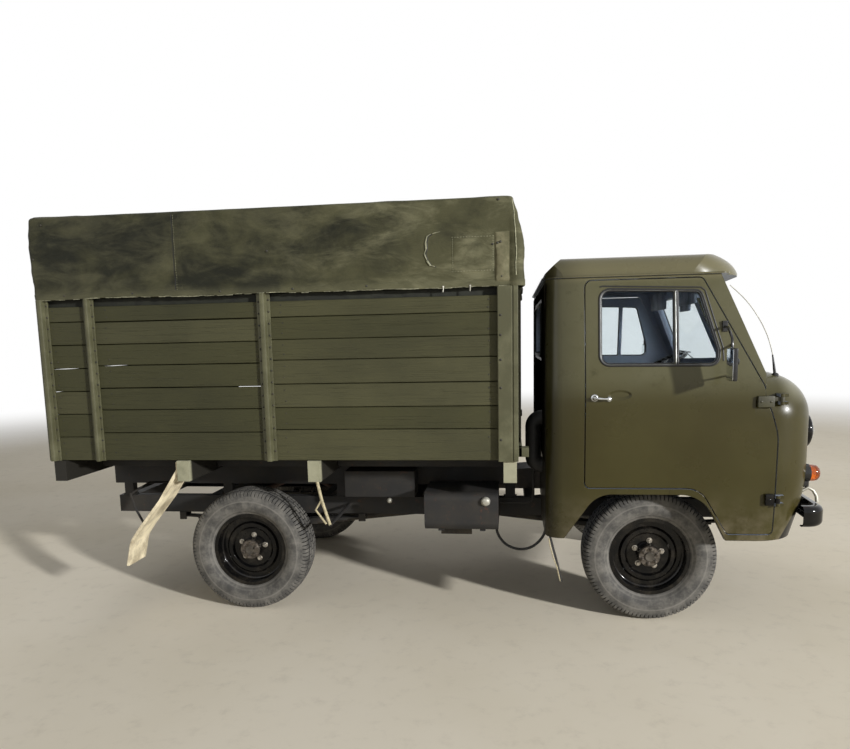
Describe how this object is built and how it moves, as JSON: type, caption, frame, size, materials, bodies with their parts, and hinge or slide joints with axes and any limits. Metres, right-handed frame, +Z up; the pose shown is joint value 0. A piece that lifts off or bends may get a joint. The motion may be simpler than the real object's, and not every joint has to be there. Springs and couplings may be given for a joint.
{
  "type": "light military cargo truck",
  "caption": "Light forward-control cargo truck with rounded cab, planked load bed under a canvas tarpaulin, steering front wheels, opening doors and drop tailgate.",
  "frame": {"origin": "on the ground under the middle of the truck's bounding box", "axes": "+X ahead, +Y to the truck's left, +Z up"},
  "size_m": [4.3225, 2.3, 2.2849],
  "materials": {
    "cab_paint": "glossy olive green coach paint",
    "bed_paint": "satin olive green paint on planks",
    "beam_paint": "pale grey-green paint",
    "chassis_paint": "black chassis paint",
    "bumper_paint": "gloss black paint",
    "rim_paint": "gloss black paint",
    "tyre_rubber": "dusty grey-black rubber",
    "black_rubber": "matt black rubber",
    "canvas": "weathered grey-green canvas",
    "bow_steel": "olive paint",
    "window_glass": "clear",
    "lamp_glass": "clear ribbed",
    "turn_lens": "orange lens",
    "tail_lens": "red lens",
    "guard_paint": "weathered cream",
    "seat_cover": "dark worn vinyl",
    "cab_trim": "grey-green interior paint",
    "dash_black": "black",
    "machine_iron": "dull grey castings",
    "wheel_plastic": "black moulded"
  },
  "bodies": {
    "chassis": {"cab_front": "cab_paint", "cab_back": "cab_paint", "cab_roof": "cab_paint", "cab_glass": "window_glass", "door_hinges": "cab_paint", "cab_floor": "cab_trim", "engine_cover": "cab_trim", "dashboard": "dash_black", "seat_frames": "cab_trim", "seats": "seat_cover", "steering_column": "chassis_paint", "frame_rails": "chassis_paint", "frame_crossmembers": "chassis_paint", "tow_plate": "chassis_paint", "leaf_springs": "chassis_paint", "front_axle": "chassis_paint", "rear_axle": "chassis_paint", "engine": "machine_iron", "gearbox": "machine_iron", "propshafts": "chassis_paint", "fuel_tanks": "chassis_paint", "bumper": "bumper_paint", "headlamps": "lamp_glass", "turn_lamps": "turn_lens", "bed_floor": "bed_paint", "bed_beams": "beam_paint", "bed_sills": "chassis_paint", "bed_sides": "bed_paint", "bed_front_wall": "bed_paint", "tarpaulin": "canvas", "tarp_frame": "bow_steel", "rear_mudguards": "guard_paint", "front_mudflaps": "black_rubber", "tail_lamps": "tail_lens", "air_duct": "black_rubber", "fuel_pipe": "chassis_paint", "drain_hose": "black_rubber"},
    "knuckle_left": {"knuckle_left": "chassis_paint"},
    "knuckle_right": {"knuckle_right": "chassis_paint"},
    "tie_rod": {"tie_rod": "chassis_paint"},
    "wheel_front_left": {"tyre_front_left": "tyre_rubber", "rim_front_left": "rim_paint"},
    "wheel_front_right": {"tyre_front_right": "tyre_rubber", "rim_front_right": "rim_paint"},
    "wheel_rear_left": {"tyre_rear_left": "tyre_rubber", "rim_rear_left": "rim_paint"},
    "wheel_rear_right": {"tyre_rear_right": "tyre_rubber", "rim_rear_right": "rim_paint"},
    "steering_wheel": {"steering_wheel": "wheel_plastic"},
    "door_left": {"door_left": "cab_paint", "door_glass_left": "window_glass", "door_fittings_left": "cab_paint"},
    "door_right": {"door_right": "cab_paint", "door_glass_right": "window_glass", "door_fittings_right": "cab_paint"},
    "tailgate": {"tailgate": "bed_paint"}
  },
  "joints": [
    {"name": "steer_left", "type": "hinge", "parent": "chassis", "child": "knuckle_left", "pos_m": [1.234, 0.6, 0.362], "axis": [0, 0, 1], "range_deg": [-28, 28]},
    {"name": "steer_right", "type": "hinge", "parent": "chassis", "child": "knuckle_right", "pos_m": [1.234, -0.6, 0.362], "axis": [0, 0, 1], "range_deg": [-28, 28]},
    {"name": "tie_rod_pin", "type": "hinge", "parent": "knuckle_left", "child": "tie_rod", "pos_m": [1.054, 0.6, 0.3137], "axis": [0, 0, 1], "range_deg": [-28, 28]},
    {"name": "steering_wheel_turn", "type": "hinge", "parent": "chassis", "child": "steering_wheel", "pos_m": [1.524, 0.43, 1.365], "axis": [-0.454, 0, 0.891], "range_deg": [-560, 560]},
    {"name": "spin_front_left", "type": "hinge", "parent": "knuckle_left", "child": "wheel_front_left", "pos_m": [1.234, 0.721, 0.362], "axis": [0, 1, 0], "continuous": true},
    {"name": "spin_front_right", "type": "hinge", "parent": "knuckle_right", "child": "wheel_front_right", "pos_m": [1.234, -0.721, 0.362], "axis": [0, 1, 0], "continuous": true},
    {"name": "spin_rear_left", "type": "hinge", "parent": "chassis", "child": "wheel_rear_left", "pos_m": [-1.066, 0.721, 0.362], "axis": [0, 1, 0], "continuous": true},
    {"name": "spin_rear_right", "type": "hinge", "parent": "chassis", "child": "wheel_rear_right", "pos_m": [-1.066, -0.721, 0.362], "axis": [0, 1, 0], "continuous": true},
    {"name": "door_left_hinge", "type": "hinge", "parent": "chassis", "child": "door_left", "pos_m": [1.822, 0.982, 0.985], "axis": [0, 0, -1], "range_deg": [0, 70]},
    {"name": "door_right_hinge", "type": "hinge", "parent": "chassis", "child": "door_right", "pos_m": [1.822, -0.982, 0.985], "axis": [0, 0, 1], "range_deg": [0, 70]},
    {"name": "tailgate_hinge", "type": "hinge", "parent": "chassis", "child": "tailgate", "pos_m": [-2.164, 0, 0.925], "axis": [0, -1, 0], "range_deg": [0, 90]}
  ],
  "couplings": [
    {"joint": "steer_right", "follows": "steer_left", "ratio": 1},
    {"joint": "tie_rod_pin", "follows": "steer_left", "ratio": -1},
    {"joint": "steering_wheel_turn", "follows": "steer_left", "ratio": 20}
  ]
}
